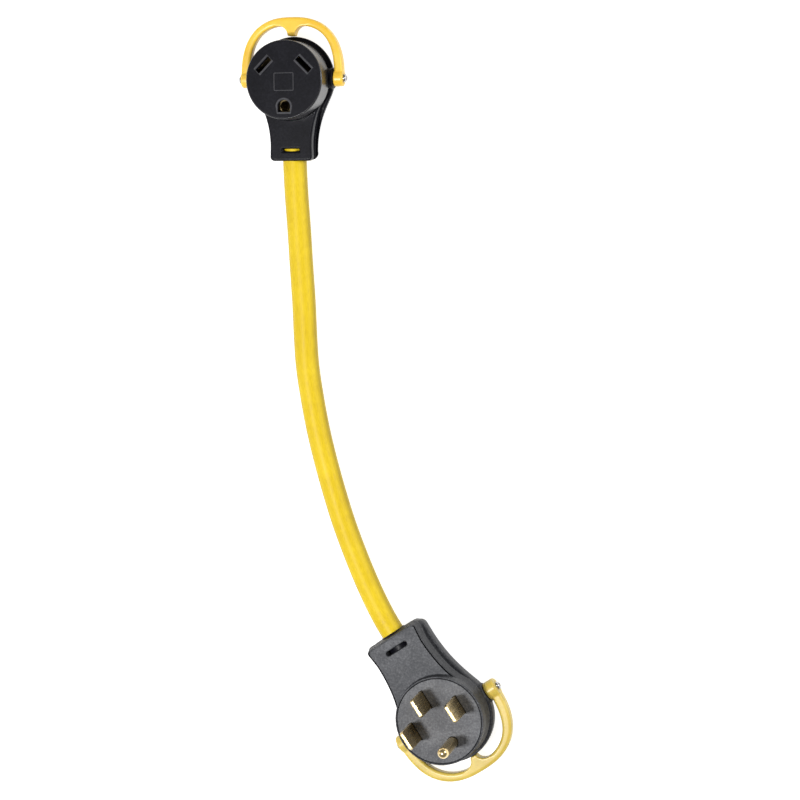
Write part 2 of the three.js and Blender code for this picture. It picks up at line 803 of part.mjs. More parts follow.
const male = headGroup(MALE);
addPiece(male, "male_grip_body", maleBody(), RUBBER);
addPiece(male, "male_blade_carrier", bladeCarrier(), RUBBER);
addPiece(male, "male_strain_relief", sleeve(), RUBBER);
addPiece(male, "male_hot_blade_x", blade(HOT_X, HOT_Y, true), BRASS);
addPiece(male, "male_hot_blade_y", blade(-HOT_X, HOT_Y, false), BRASS);
addPiece(male, "male_neutral_blade", blade(0, NEUTRAL_Y, true), BRASS);
addPiece(male, "male_ground_pin", earthPin(), BRASS);

for (const [prefix, head, frame] of [
  ["female", FEMALE, female],
  ["male", MALE, male],
]) {
  addPiece(frame, `${prefix}_handle`, handle(head), HANDLE_YELLOW);
  for (const [label, side] of [
    ["right", 1],
    ["left", -1],
  ]) {
    addPiece(frame, `${prefix}_pivot_screw_${label}`, screw(head, side), NICKEL);
    addPiece(frame, `${prefix}_threaded_insert_${label}`, threadedInsert(head, side), BRASS);
  }
}

addPiece(group, "cable_jacket", jacket(), CABLE_YELLOW);
// The same fan on the other side of the head.
const mirrored = (fan) => fan.map(([x, y, z]) => [-x, y, z]);

const CORES = [
  ["hot", -Math.PI / 6, mirrored(FEMALE_SIDE_FAN), MALE_HOT_FAN, CORE_BLACK],
  ["neutral", Math.PI + Math.PI / 6, FEMALE_SIDE_FAN, MALE_NEUTRAL_FAN, CORE_WHITE],
  ["ground", Math.PI / 2, FEMALE_EARTH_FAN, MALE_EARTH_FAN, CORE_GREEN],
];
for (const [label, angle, femaleFan, maleFan, look] of CORES)
  addPiece(group, `cable_${label}_core`, core(angle, femaleFan, maleFan), look);

export default group;
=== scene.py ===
"""Dogbone power adapter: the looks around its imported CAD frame.

Shapes are built in millimetres in each head's own frame, where the handle hinge lies on X, the
handle points to +Y, the cable leaves to -Y and the back is at z = 0. They are then placed in
the frame's metres from the handle joints.
"""
import json
import math

import bmesh
import bpy
from mathutils import Matrix, Vector


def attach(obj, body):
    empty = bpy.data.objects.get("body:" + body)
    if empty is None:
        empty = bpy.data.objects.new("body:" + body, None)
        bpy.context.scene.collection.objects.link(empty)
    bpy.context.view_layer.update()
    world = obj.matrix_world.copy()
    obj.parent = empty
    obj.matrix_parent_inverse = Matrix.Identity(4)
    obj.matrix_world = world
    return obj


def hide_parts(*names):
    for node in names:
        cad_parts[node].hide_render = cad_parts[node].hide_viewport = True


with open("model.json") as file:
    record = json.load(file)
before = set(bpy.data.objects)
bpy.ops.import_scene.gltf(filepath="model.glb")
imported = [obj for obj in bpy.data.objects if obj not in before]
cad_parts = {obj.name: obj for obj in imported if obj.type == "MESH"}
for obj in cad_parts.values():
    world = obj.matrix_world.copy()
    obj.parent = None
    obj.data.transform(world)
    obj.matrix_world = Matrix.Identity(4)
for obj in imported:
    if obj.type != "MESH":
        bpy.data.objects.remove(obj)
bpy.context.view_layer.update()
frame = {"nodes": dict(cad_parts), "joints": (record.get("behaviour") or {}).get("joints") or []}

ADAPTER = "adapter"
MM = 0.001
GAP = 0.3
OVER = 1.0
SOFT_VOXEL = 0.42
HANDLE_VOXEL = 0.36
SHARP = math.radians(32)

# Camera: where it stands, and the directions of its right and its view.
CAMERA_AT = (0.3577, 0.1417, 1.3904)
CAMERA_RIGHT = (0.97078, -0.00736, -0.23985)
CAMERA_VIEW = (-0.23940, -0.09787, -0.96597)
CAMERA_LENS = 100

# Studio: a white floor that gives off light of its own, an even sky, and square lamps as
# (name, place, size, energy).
FLOOR_HALF = 4
FLOOR_GLOW = 0.88
SKY = 0.24
LAMPS = [
    ("key", (-0.34, -0.30, 1.6), 0.18, 22),
    ("side", (-1.3, -0.2, 0.7), 0.9, 4),
    ("rim", (1.1, 0.35, 0.6), 0.35, 7),
]

# Centreline of the cable, as in the CAD, and its size.
CABLE_ROUTE = [
    (-0.0530, 0.1755, 0.0096),
    (-0.0530, 0.1553, 0.0096),
    (-0.0524, 0.1340, 0.0090),
    (-0.0512, 0.1114, 0.0082),
    (-0.0500, 0.0887, 0.0080),
    (-0.0486, 0.0661, 0.0080),
    (-0.0468, 0.0247, 0.0080),
    (-0.0440, 0.0039, 0.0080),
    (-0.0402, -0.0169, 0.0080),
    (-0.0353, -0.0377, 0.0080),
    (-0.0296, -0.0585, 0.0080),
    (-0.0232, -0.0793, 0.0080),
    (-0.0154, -0.1000, 0.0083),
    (-0.0058, -0.1209, 0.0104),
    (0.0042, -0.1393, 0.0125),
    (0.0112, -0.1506, 0.0128),
    (0.0229, -0.1681, 0.0128),
]
CABLE_RADIUS = 0.00765
CABLE_BORE = 0.0057
CABLE_SIDES = 64
CABLE_STEPS = 16
CABLE_SWELL = 0.006
CABLE_FIT = 7.95
STREAK_RUN = 8

# Sizes in millimetres. Outlines are (head circle radius, its y, where the circle ends in degrees
# from -Y, first handle of the hollow curve, neck half width, second handle, where the neck starts,
# half width at the end).
FEMALE = {
    "neck_end": -52.2,
    "rear": (27.0, 0.0, 72, 8, 15.2, 20, -46, 15.4),
    "groove": (24.2, 0.0, 66, 8, 12.4, 16, -44, 12.4),
    "front": (25.2, -1.2, 55, 6, 13.7, 12, -43, 13.9),
    "back_edge": [(0, 3.8), (0.3, 3.1), (0.8, 2.6), (1.5, 2.15), (2.4, 1.8), (3.6, 1.3),
                  (5, 0.9), (6.5, 0.5), (8, 0.25), (9.2, 0.1), (10, 0.12), (10.5, 0.35),
                  (10.8, 0.9)],
    "flange_top": 10.8,
    "neck_flange_top": 6.4,
    "wall": 15.6,
    "neck_wall": 13.0,
    "flange_slope": (-19, -33),
    "wall_slope": (-16, -30),
    "neck_front": 18.9,
    "face": 32.8,
    "face_radius": 25.2,
    "face_y": -1.2,
    "pivot": 11.9,
    "boss": (21.3, 27.5, 6.7),
    "insert_hole": 2.8,
    "cavity": (21.7, 3.0),
    "bore": (9.6, CABLE_FIT),
    "room": (19, 14, -22, 12.5),
    "window": (-45.3, 12, 2.6),
    "window_shape": (0.5, 0.9, 0.55),
    "handle": (33.9, 39.2, 2.5, 28.0, 33.8, 2.8),
    "post": (9.0, 4.2),
    "lug": (27.8, 33.9, 5.3),
    "rim": 27.0,
    "screw": (22.8, 34.05),
}
MALE = {
    "neck_end": -63.6,
    "rear": (30.2, 0.0, 72, 8, 20.8, 20, -50, 21.0),
    "groove": (27.3, -1.0, 64, 8, 16.9, 15, -52, 17.0),
    "front": (28.9, -2.0, 58, 8, 17.8, 14, -52, 18.8),
    "back_edge": [(0, 3.2), (0.25, 2.5), (0.7, 1.9), (1.4, 1.35), (2.4, 0.9), (3.6, 0.55),
                  (5, 0.3), (8, 0.05), (11, 0.0), (12.2, 0.1), (12.8, 0.4), (13.2, 0.9)],
    "wall": 17.0,
    "neck_front": 25.6,
    "face": 32.1,
    "face_radius": 27.5,
    "face_y": -2.0,
    "pivot": 9.4,
    "boss": (24.3, 30.7, 7.2),
    "insert_hole": 2.8,
    "cavity": (24.5, 3.0),
    "bore": (12.8, 9.5),
    "room": (24, 24, -30, 22),
    "window": (-55.2, 15.8, 2.9),
    "window_shape": (1.4, 2.6, 0.2),
    "handle": (38.8, 41.6, 2.5, 32.0, 36.2, 2.6),
    "post": (9.5, 3.4),
    "lug": (31.0, 38.8, 6.1),
    "rim": 30.2,
    "screw": (25.8, 38.95),
}

# Past any head's half width, and past the end of its neck.
WIDE = 40
LONG = 60

# Where the cable bore meets the wiring cavity.
BORE_END = -13

# The male groove fades out near the end of the neck: where that ends and starts, measured from
# the end, and how much the groove's outline grows.
FADE_END = 6
FADE_RUN = 7
FADE_GROWTH = 1.8

# The male parting line: its depth, and the insets of its two edges.
LINE_DEPTH = 2.2
LINE_EDGES = (0.4, 1.25)

SLOT_AT = (13.2, 8.2)
SLOT_SIZE = (11.8, 3.2)
SLOT_TURN = math.radians(45)
CONTACT_ROOM = (13.0, 5.8)
EARTH_Y = -17.7
EARTH_SIZE = (8.0, 7.4)
EARTH_TUBE = 4.6
FACE_WALL = 3.5
SPIGOT_FLOOR = 12.5
SPIGOT_RADIUS = 21.4
RIM_WIDTH = 1.5
RIM_HEIGHT = 0.35
PLAIN_FRAME = (13.0, 11.4, 0.8, 0, -2.5)
FRAME_WIDTH = 0.45
FRAME_HEIGHT = 0.18
FACE_ROUND = 1.1
FACE_DRAFT = 0.15

CARRIER_FLOOR = 22.0
BLADES = {
    "male_hot_blade_x": (17.2, -4.2),
    "male_hot_blade_y": (-17.2, -4.2),
    "male_neutral_blade": (0.0, -18.1),
}
BLADE_SIZE = (2.3, 12.7)
BLADE_TIP = 57.7
BLADE_CLIP = 1.3
PIN_Y = 13.9
PIN_RADIUS = 3.6
PIN_TIP = 62.6
SHOULDER_FLOOR = 18.0
BARREL_HEIGHT = 15.4
SLEEVE_START = -42.0
SLEEVE_PROUD = 1.6

SCREW_RADIUS = 1.6
SCREW_HEAD = 2.7
SCREW_RIM = 0.6
SCREW_CROWN = 1.2
RECESS_WIDTH = 0.6
RECESS_LENGTH = 3.0

HANDLE_DEPTH = 7.6
HANDLE_EDGE = 1.9
# The post: its half width, how far its curve leans along the bail's inner edge, and how far its
# root is sunk in the bail, along it and into it.
POST_HALF = 2.4
POST_LEAN = 3.0
POST_ROOT = (5.0, 2.4)
POST_CLEARANCE = 0.1
TOE_RADIUS = 0.7


# ---------------------------------------------------------------- mesh helpers


def mesh_object(name, vertices, faces):
    mesh = bpy.data.meshes.new(name)
    mesh.from_pydata([tuple(v) for v in vertices], [], faces)
    built = bmesh.new()
    built.from_mesh(mesh)
    bmesh.ops.remove_doubles(built, verts=built.verts, dist=1e-5)
    bmesh.ops.recalc_face_normals(built, faces=built.faces)
    built.to_mesh(mesh)
    built.free()
    obj = bpy.data.objects.new(name, mesh)
    bpy.context.scene.collection.objects.link(obj)
    return obj


def stacked(rings):
    """Closed solid through equal rings of points, its two ends capped."""
    count = len(rings[0])
    vertices = [p for ring in rings for p in ring]
    faces = []
    for k in range(len(rings) - 1):
        for i in range(count):
            a, b = k * count + i, k * count + (i + 1) % count
            faces.append((a, b, b + count, a + count))
    faces.append(tuple(reversed(range(count))))
    faces.append(tuple(range((len(rings) - 1) * count, len(rings) * count)))
    return mesh_object("tool", vertices, faces)


def inward_normals(outline):
    normals = []
    for i in range(len(outline)):
        before, after = outline[i - 1], outline[(i + 1) % len(outline)]
        normals.append(Vector((before[1] - after[1], after[0] - before[0])).normalized())
    return normals


def loft(outline, levels):
    """Solid with an upright axis whose outline moves inwards by level: (height, inset) pairs.
    An inset may be a function of y."""
    normals = inward_normals(outline)
    rings = []
    for height, inset in levels:
        ring = []
        for (x, y), normal in zip(outline, normals):
            depth = inset(y) if callable(inset) else inset
            ring.append((x + normal.x * depth, y + normal.y * depth, height))
        rings.append(ring)
    return stacked(rings)


def turned_rings(profile, sides):
    return [
        [(radius * math.cos(2 * math.pi * i / sides),
          radius * math.sin(2 * math.pi * i / sides), along)
         for i in range(sides)]
        for radius, along in profile
    ]


def stand(obj, axis, at):
    """Turns an object made along Z onto the given axis, and moves it."""
    turn = {"Z": Matrix(), "X": Matrix.Rotation(math.pi / 2, 4, "Y"),
            "Y": Matrix.Rotation(-math.pi / 2, 4, "X")}[axis]
    obj.data.transform(Matrix.Translation(at) @ turn)
    return obj


def ring_lathe(profile, sides, axis, at):
    """A hollow turned part: a closed profile of (radius, along) pairs about an axis."""
    rings = turned_rings(profile, sides)
    vertices = [p for ring in rings for p in ring]
    faces = []
    for k in range(len(rings)):
        below, above = k * sides, ((k + 1) % len(rings)) * sides
        for i in range(sides):
            j = (i + 1) % sides
            faces.append((below + i, below + j, above + j, above + i))
    return stand(mesh_object("tool", vertices, faces), axis, at)


def solid_lathe(profile, sides=128, axis="Z", at=(0, 0, 0)):
    """A turned solid: the profile runs from end to end and is closed along the axis."""
    return stand(stacked(turned_rings(profile, sides)), axis, at)


def quarter(radius, low, edge, steps=5):
    """(radius, height) points of a rounded edge at the end of a turned wall."""
    points = []
    for i in range(steps + 1):
        angle = math.pi / 2 * i / steps
        inset = edge * (1 - math.cos(angle))
        rise = edge * math.sin(angle)
        points.append((radius - inset, low + rise))
    return points


def rounded_levels(low, high, bottom, top, steps=5):
    """(height, inset) pairs of a wall with a rounded bottom and top edge."""
    levels = []
    for i in range(steps + 1):
        angle = math.pi / 2 * i / steps
        levels.append((low + bottom * (1 - math.cos(angle)), bottom * (1 - math.sin(angle))))
    for i in range(steps + 1):
        angle = math.pi / 2 * i / steps
        levels.append((high - top * (1 - math.sin(angle)), top * (1 - math.cos(angle))))
    return levels


def rectangle(width, depth, x, y, turn=0.0):
    corners = [(-width / 2, -depth / 2), (width / 2, -depth / 2),
               (width / 2, depth / 2), (-width / 2, depth / 2)]
    c, s = math.cos(turn), math.sin(turn)
    return [(x + px * c - py * s, y + px * s + py * c) for px, py in corners]


def box(width, depth, low, high, x, y, turn=0.0):
    return loft(rectangle(width, depth, x, y, turn), [(low, 0), (high, 0)])


def rounded_box(width, depth, radius, x, y, steps=6):
    """Outline of a rectangle with round corners, centred on (x, y)."""
    outline = []
    for k, (sx, sy) in enumerate([(1, 1), (-1, 1), (-1, -1), (1, -1)]):
        for i in range(steps + 1):
            angle = math.pi / 2 * (k + i / steps)
            outline.append((x + sx * (width / 2 - radius) + radius * math.cos(angle),
                            y + sy * (depth / 2 - radius) + radius * math.sin(angle)))
    return outline


def wedge(points, half_width):
    """A (y, z) polygon extruded across X."""
    rings = [[(x, y, z) for y, z in points] for x in (-half_width, half_width)]
    return stacked(rings)


def combine(body, tool, operation):
    modifier = body.modifiers.new("combine", "BOOLEAN")
    modifier.operation = operation
    modifier.solver = "MANIFOLD"
    modifier.object = tool
    apply_modifiers(body)
    bpy.data.objects.remove(tool)
    return body


def join(body, *tools):
    for tool in tools:
        combine(body, tool, "UNION")
    return body


def cut(body, *tools):
    for tool in tools:
        combine(body, tool, "DIFFERENCE")
    return body


def apply_modifiers(obj):
    graph = bpy.context.evaluated_depsgraph_get()
    mesh = bpy.data.meshes.new_from_object(obj.evaluated_get(graph))
    obj.modifiers.clear()
    obj.data = mesh


def soften(obj, voxel, rounds, keep):
    """Rounds every edge as a moulding has it: fine voxels, then a little smoothing."""
    remesh = obj.modifiers.new("remesh", "REMESH")
    remesh.mode = "VOXEL"
    remesh.voxel_size = voxel
    smooth = obj.modifiers.new("smooth", "SMOOTH")
    smooth.factor = 0.5
    smooth.iterations = rounds
    thin = obj.modifiers.new("thin", "DECIMATE")
    thin.ratio = keep
    apply_modifiers(obj)
    return obj


def finished(obj, name, head, body, look, replaced, smooth=True):
    """Names a piece, places it in the frame, shades it, and sets what it rides on."""
    weighted = obj.modifiers.new("weighted", "WEIGHTED_NORMAL")
    weighted.keep_sharp = True
    obj.name = name
    obj.data.name = name
    if head is not None:
        obj.data.transform(head)
    for polygon in obj.data.polygons:
        polygon.use_smooth = smooth
    obj.data.set_sharp_from_angle(angle=SHARP)
    # The female face comes with its three looks already set.
    if PAINTED_LIP_HIGHLIGHT["material"] not in list(obj.data.materials):
        obj.data.materials.clear()
        obj.data.materials.append(look["material"])
    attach(obj, body)
    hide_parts(*replaced)
    return obj


def head_frame(joint_name):
    """Millimetres in a head's own frame to metres in the row frame."""
    joint = next(j for j in frame["joints"] if j["name"] == joint_name)
    x, y, _ = joint["pos_m"]
    ax, ay, _ = joint["axis"]
    turn = Matrix.Rotation(math.atan2(-ay, -ax), 4, "Z")
    return Matrix.Translation((x, y, 0)) @ turn @ Matrix.Scale(MM, 4)


# ---------------------------------------------------------------- materials


def new_material(name):
    made = bpy.data.materials.new(name)
    made.use_nodes = True
    nodes, links = made.node_tree.nodes, made.node_tree.links
    return made, nodes, links, nodes["Principled BSDF"]


def noise(nodes, links, place, scale, detail=3.0, roughness=0.55, stretch=None):
    """A noise texture in the row frame's metres, stretched along some axes if asked."""
    texture = nodes.new("ShaderNodeTexNoise")
    texture.inputs["Scale"].default_value = scale
    texture.inputs["Detail"].default_value = detail
    texture.inputs["Roughness"].default_value = roughness
    if stretch is None:
        links.new(place, texture.inputs["Vector"])
    else:
        mapping = nodes.new("ShaderNodeMapping")
        mapping.inputs["Scale"].default_value = stretch
        links.new(place, mapping.inputs["Vector"])
        links.new(mapping.outputs["Vector"], texture.inputs["Vector"])
    return texture.outputs["Fac"]


def ramp(nodes, links, factor, stops):
    made = nodes.new("ShaderNodeValToRGB")
    elements = made.color_ramp.elements
    while len(elements) < len(stops):
        elements.new(0.5)
    for element, (position, colour) in zip(elements, stops):
        element.position = position
        element.color = (*colour, 1.0)
    links.new(factor, made.inputs["Fac"])
    return made.outputs["Color"]


def spread(nodes, links, factor, low, high):
    made = nodes.new("ShaderNodeMapRange")
    made.inputs["From Min"].default_value = 0.3
    made.inputs["From Max"].default_value = 0.7
    made.inputs["To Min"].default_value = low
    made.inputs["To Max"].default_value = high
    links.new(factor, made.inputs["Value"])
    return made.outputs["Result"]


def bumps(nodes, links, shader, layers):
    """Chained bump nodes: (height, strength, distance in metres) from broad to fine."""
    previous = None
    for height, strength, distance in layers:
        bump = nodes.new("ShaderNodeBump")
        bump.inputs["Strength"].default_value = strength
        bump.inputs["Distance"].default_value = distance
        links.new(height, bump.inputs["Height"])
        if previous is not None:
            links.new(previous, bump.inputs["Normal"])
        previous = bump.outputs["Normal"]
    links.new(previous, shader.inputs["Normal"])


def coordinates(nodes, output="Object"):
    return nodes.new("ShaderNodeTexCoord").outputs[output]


def painted_flank_shade(nodes, links, colour, flank_shade):
    """The colour, darkened where the surface is steep: painted shade on the flanks."""
    steep = nodes.new("ShaderNodeSeparateXYZ")
    links.new(coordinates(nodes, "Normal"), steep.inputs["Vector"])
    level = nodes.new("ShaderNodeMath")
    level.operation = "ABSOLUTE"
    links.new(steep.outputs["Z"], level.inputs[0])
    shade = nodes.new("ShaderNodeHueSaturation")
    links.new(spread(nodes, links, level.outputs["Value"], flank_shade, 1.0), shade.inputs["Value"])
    links.new(colour, shade.inputs["Color"])
    return shade.outputs["Color"]


def rubber(slot, name, dark, mid, light, rough, grain, shine, flank_shade=1.0):
    """Moulded rubber: cloudy tone, a fine matte grain and, if asked, painted shade on steep
    flanks.
    """
    made, nodes, links, shader = new_material(name)
    place = coordinates(nodes)
    cloud = noise(nodes, links, place, 60, 5, 0.6)
    speck = noise(nodes, links, place, 1500, 2, 0.6)
    tone = nodes.new("ShaderNodeMix")
    tone.data_type = "FLOAT"
    tone.inputs["Factor"].default_value = 0.6
    links.new(cloud, tone.inputs["A"])
    links.new(noise(nodes, links, place, 750, 3, 0.7), tone.inputs["B"])
    colour = ramp(nodes, links, tone.outputs["Result"],
                  [(0.38, dark), (0.5, mid), (0.62, light)])
    # Steep faces darken here by the given factor: painted shade.
    links.new(painted_flank_shade(nodes, links, colour, flank_shade), shader.inputs["Base Color"])
    links.new(spread(nodes, links, speck, rough - 0.05, rough + 0.07),
              shader.inputs["Roughness"])
    shader.inputs["Specular IOR Level"].default_value = shine
    bumps(nodes, links, shader, [
        (noise(nodes, links, place, 220, 3, 0.6), grain * 0.3, 0.0003),
        (speck, grain, 0.00012),
    ])
    return {"slot": slot, "material": made}


def plastic(slot, name, low, mid, high, rough):
    """Satin moulded plastic, with a little light under its skin."""
    made, nodes, links, shader = new_material(name)
    place = coordinates(nodes)
    cloud = noise(nodes, links, place, 45, 4, 0.55)
    fine = noise(nodes, links, place, 1100, 2, 0.5)
    colour = ramp(nodes, links, cloud, [(0.3, low), (0.5, mid), (0.7, high)])
    # Steep sides of the handle darken to 0.8: painted shade.
    links.new(painted_flank_shade(nodes, links, colour, 0.8), shader.inputs["Base Color"])
    links.new(spread(nodes, links, cloud, rough - 0.06, rough + 0.08),
              shader.inputs["Roughness"])
    shader.inputs["Subsurface Weight"].default_value = 0.12
    shader.inputs["Subsurface Radius"].default_value = (0.004, 0.002, 0.0005)
    shader.inputs["Subsurface Scale"].default_value = 0.5
    bumps(nodes, links, shader, [
        (noise(nodes, links, place, 130, 2, 0.5), 0.12, 0.0004),
        (fine, 0.10, 0.0001),
    ])
    return {"slot": slot, "material": made}


def jacket_look():
    """Extruded cable jacket: long die streaks, scuffs and a low sheen."""
    made, nodes, links, shader = new_material("cable_yellow")
    along = coordinates(nodes, "UV")
    place = coordinates(nodes)
    streak = noise(nodes, links, along, 9, 4, 0.6, stretch=(9.0, 1.2, 1.0))
    cloud = noise(nodes, links, place, 38, 4, 0.6)
    fine = noise(nodes, links, place, 1300, 2, 0.5)
    mixed = nodes.new("ShaderNodeMix")
    mixed.data_type = "FLOAT"
    mixed.inputs["Factor"].default_value = 0.5
    links.new(streak, mixed.inputs["A"])
    links.new(cloud, mixed.inputs["B"])
    colour = ramp(nodes, links, mixed.outputs["Result"], [
        (0.32, (0.60, 0.40, 0.008)),
        (0.5, (0.72, 0.51, 0.010)),
        (0.68, (0.83, 0.61, 0.018)),
    ])
    # Steep sides of the cable darken to 0.62: painted shade.
    links.new(painted_flank_shade(nodes, links, colour, 0.62), shader.inputs["Base Color"])
    links.new(spread(nodes, links, streak, 0.40, 0.56), shader.inputs["Roughness"])
    shader.inputs["Specular IOR Level"].default_value = 0.25
    bumps(nodes, links, shader, [(streak, 0.15, 0.0003), (fine, 0.12, 0.0001)])
    return {"slot": "cable_yellow", "material": made}


def brass_look(name, shade, rough):
    """Stamped brass: grain along the blade, slight tarnish."""
    made, nodes, links, shader = new_material(name)
    place = coordinates(nodes)
    lines = noise(nodes, links, place, 700, 3, 0.6, stretch=(1.0, 1.0, 0.06))
    tarnish = noise(nodes, links, place, 160, 4, 0.65)
    links.new(ramp(nodes, links, tarnish, [
        (0.3, tuple(shade * part for part in (0.60, 0.44, 0.20))),
        (0.55, tuple(shade * part for part in (0.74, 0.58, 0.30))),
        (0.75, tuple(shade * part for part in (0.84, 0.70, 0.42))),
    ]), shader.inputs["Base Color"])
    links.new(spread(nodes, links, lines, rough, rough + 0.08), shader.inputs["Roughness"])
    shader.inputs["Metallic"].default_value = 1.0
    bumps(nodes, links, shader, [(lines, 0.015, 0.00003)])
    return {"slot": "brass", "material": made}


def steel_look():
    """Bright plated screw."""
    made, nodes, links, shader = new_material("bright_steel")
    place = coordinates(nodes)
    marks = noise(nodes, links, place, 900, 3, 0.6)
    links.new(ramp(nodes, links, marks, [
        (0.35, (0.36, 0.36, 0.37)),
        (0.65, (0.55, 0.55, 0.56)),
    ]), shader.inputs["Base Color"])
    links.new(spread(nodes, links, marks, 0.12, 0.24), shader.inputs["Roughness"])
    shader.inputs["Metallic"].default_value = 1.0
    bumps(nodes, links, shader, [(marks, 0.05, 0.00005)])
    return {"slot": "bright_steel", "material": made}


def insulation(slot, low, high):
    """Smooth wire insulation."""
    made, nodes, links, shader = new_material(slot)
    place = coordinates(nodes)
    cloud = noise(nodes, links, place, 200, 3, 0.5)
    links.new(ramp(nodes, links, cloud, [(0.35, low), (0.65, high)]),
              shader.inputs["Base Color"])
    links.new(spread(nodes, links, cloud, 0.28, 0.40), shader.inputs["Roughness"])
    bumps(nodes, links, shader, [(cloud, 0.08, 0.0001)])
    return {"slot": slot, "material": made}


def floor_look():
    """White ground, bright enough of itself to leave only a trace of shadow."""
    made, nodes, links, shader = new_material("floor_white")
    cloud = noise(nodes, links, coordinates(nodes), 3, 2, 0.5)
    links.new(ramp(nodes, links, cloud, [(0.3, (0.50, 0.50, 0.50)), (0.7, (0.54, 0.54, 0.54))]),
              shader.inputs["Base Color"])
    shader.inputs["Roughness"].default_value = 0.9
    shader.inputs["Specular IOR Level"].default_value = 0.1
    shader.inputs["Emission Color"].default_value = (1, 1, 1, 1)
    shader.inputs["Emission Strength"].default_value = FLOOR_GLOW
    return made


BLACK = rubber("grip_black", "grip_black", (0.003, 0.003, 0.005), (0.005, 0.005, 0.008),
               (0.009, 0.009, 0.013), 0.35, 0.25, 0.12)
WALL = rubber("grip_black", "drum_wall", (0.006, 0.006, 0.008), (0.009, 0.009, 0.012),
              (0.014, 0.014, 0.017), 0.26, 0.10, 0.65)
# Lighter grey for the tops of the rims round the openings: painted highlight.
PAINTED_LIP_HIGHLIGHT = rubber("grip_black", "opening_lip", (0.028, 0.028, 0.033), (0.040, 0.040, 0.046),
             (0.055, 0.055, 0.062), 0.42, 0.15, 0.3)
# The charcoal grip and the blade carrier darken to 0.42 on steep faces: painted shade.
CHARCOAL = rubber("grip_charcoal", "grip_charcoal", (0.038, 0.040, 0.045),
                  (0.068, 0.070, 0.077), (0.125, 0.127, 0.136), 0.46, 0.8, 0.18, 0.42)
CARRIER = rubber("grip_charcoal", "blade_carrier", (0.055, 0.057, 0.063),
                 (0.094, 0.096, 0.104), (0.160, 0.163, 0.172), 0.44, 0.8, 0.22, 0.42)
AMBER = plastic("handle_yellow", "handle_amber", (0.88, 0.54, 0.045), (0.94, 0.60, 0.06),
                (0.98, 0.65, 0.09), 0.34)
STRAW = plastic("handle_yellow", "handle_straw", (0.57, 0.42, 0.065), (0.67, 0.495, 0.09),
                (0.78, 0.60, 0.14), 0.36)
JACKET = jacket_look()
BRASS = brass_look("blade_brass", 1.0, 0.22)
# Rougher brass for the contacts and inserts, darkened to 0.22: painted shade of the slots they sit
# in.
DULL_BRASS_PAINTED_SHADE = brass_look("contact_brass", 0.22, 0.40)
STEEL = steel_look()
CORES = {
    "cable_hot_core": insulation("core_black", (0.012, 0.012, 0.012), (0.02, 0.02, 0.02)),
    "cable_neutral_core": insulation("core_white", (0.72, 0.71, 0.66), (0.82, 0.81, 0.77)),
    "cable_ground_core": insulation("core_green", (0.02, 0.20, 0.06), (0.04, 0.30, 0.10)),
}


# ---------------------------------------------------------------- heads


def bezier(a, b, c, d, steps):
    points = []
    for i in range(steps + 1):
        t = i / steps
        u = 1 - t
        points.append(a * u**3 + b * 3 * u * u * t + c * 3 * u * t * t + d * t**3)
    return points


def grip_outline(head, key):
    """A circle that runs by a hollow curve into a straight neck, counter-clockwise."""
    radius, centre, root, lead, waist, rise, waist_y, end = head[key]
    neck_end = head["neck_end"] + (0.8 if key == "groove" else 0.0)
    corner = 5.0 if key == "rear" else 2.6
    angle = math.radians(root)
    start = Vector((radius * math.sin(angle), centre - radius * math.cos(angle)))
    flare = bezier(
        start,
        start - Vector((lead * math.cos(angle), lead * math.sin(angle))),
        Vector((waist, waist_y + rise)),
        Vector((waist, waist_y)),
        30,
    )
    bend = [
        Vector((end - corner + corner * math.cos(a), neck_end + corner - corner * math.sin(a)))
        for a in (math.pi / 2 * i / 8 for i in range(9))
    ]
    side = flare + bend
    first, last = angle - math.pi / 2, 1.5 * math.pi - angle
    crown = [
        Vector((radius * math.cos(a), centre + radius * math.sin(a)))
        for a in (first + (last - first) * i / 150 for i in range(151))
    ]
    left = [Vector((-p.x, p.y)) for p in side[1:]]
    return crown + left + list(reversed(side[1:]))


def hinge_rods(inner, outer, radius, height, edge=0.6):
    """A rod with a rounded outer edge on the hinge axis, on each side."""
    profile = [(radius, inner), *quarter(radius, outer - edge, edge)]
    right = solid_lathe(profile, axis="X", sides=64, at=(0, 0, height))
    left = solid_lathe(profile, axis="X", sides=64, at=(0, 0, height))
    left.data.transform(Matrix.Scale(-1, 4, (1, 0, 0)))
    left.data.flip_normals()
    return right, left


def rod(radius, start, end, axis, at):
    return solid_lathe([(radius, start), (radius, end)], axis=axis, sides=64, at=at)


def window_tool(head):
    """The slot in the neck's front, with a slightly flared mouth."""
    y, length, width = head["window"]
    top = head["neck_front"]
    radius, step, narrow = head["window_shape"]
    outline = rounded_box(length, width, radius, 0, y, steps=8)
    return loft(outline, [(head["bore"][0], narrow), (top - step, narrow), (top - step, 0),
                          (top - 0.1, -0.15), (top + OVER, -0.8)])


def hollow(body, head):
    """Cuts the wiring cavity, the cable bore, a box-shaped room and the insert holes."""
    radius, floor = head["cavity"]
    height, bore = head["bore"]
    width, depth, room_y, room_top = head["room"]
    reach = head["boss"][1] + OVER
    return cut(
        body,
        rod(radius, floor, head["wall"] + OVER, "Z", (0, head["face_y"], 0)),
        rod(bore, head["neck_end"] - OVER, BORE_END, "Y", (0, 0, height)),
        box(width, depth, floor, room_top, 0, room_y),
        rod(head["insert_hole"], -reach, reach, "X", (0, 0, head["pivot"])),
    )


